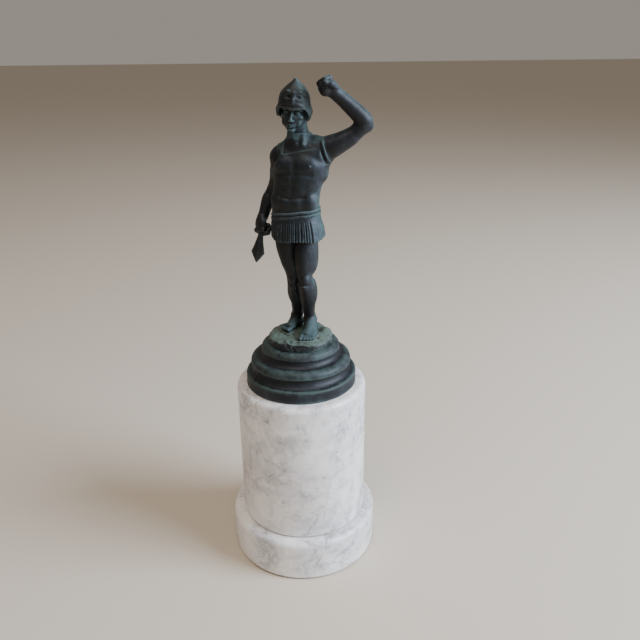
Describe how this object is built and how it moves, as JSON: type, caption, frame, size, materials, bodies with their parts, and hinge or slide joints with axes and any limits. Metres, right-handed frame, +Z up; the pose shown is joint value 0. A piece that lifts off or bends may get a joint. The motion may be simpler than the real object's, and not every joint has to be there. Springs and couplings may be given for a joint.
{
  "type": "figure trophy",
  "caption": "Standing helmeted warrior in patinated bronze, one arm raised, on a stepped round socle, a marble column and a marble plinth.",
  "frame": {"origin": "centre of the underside of the felt, where the trophy rests", "axes": "+Z up along the column and the tie rod; the warrior looks towards -Y"},
  "size_m": [0.08, 0.08, 0.2543],
  "materials": {
    "patinated_bronze": "satin, dark green-blue patina, paler green on upward and worn surfaces",
    "marble": null,
    "setting_bed": "matt yellow-brown cement",
    "green_felt": "felt",
    "plain_brass": "turned",
    "zinc_steel": "zinc plated"
  },
  "bodies": {
    "root": {"felt_pad": "green_felt", "plinth": "marble", "bedding": "setting_bed", "column": "marble", "socle": "patinated_bronze", "mound": "patinated_bronze", "mound_insert": "plain_brass", "tie_rod": "zinc_steel", "plinth_washer": "zinc_steel", "spring_washer": "zinc_steel", "hex_nut": "zinc_steel", "leg_left": "patinated_bronze", "leg_right": "patinated_bronze", "foot_pins": "zinc_steel", "skirt": "patinated_bronze", "belt": "patinated_bronze", "torso": "patinated_bronze", "arm_left": "patinated_bronze", "arm_right": "patinated_bronze", "blade": "patinated_bronze", "head": "patinated_bronze", "helmet": "patinated_bronze", "locating_dowels": "plain_brass"}
  },
  "joints": []
}
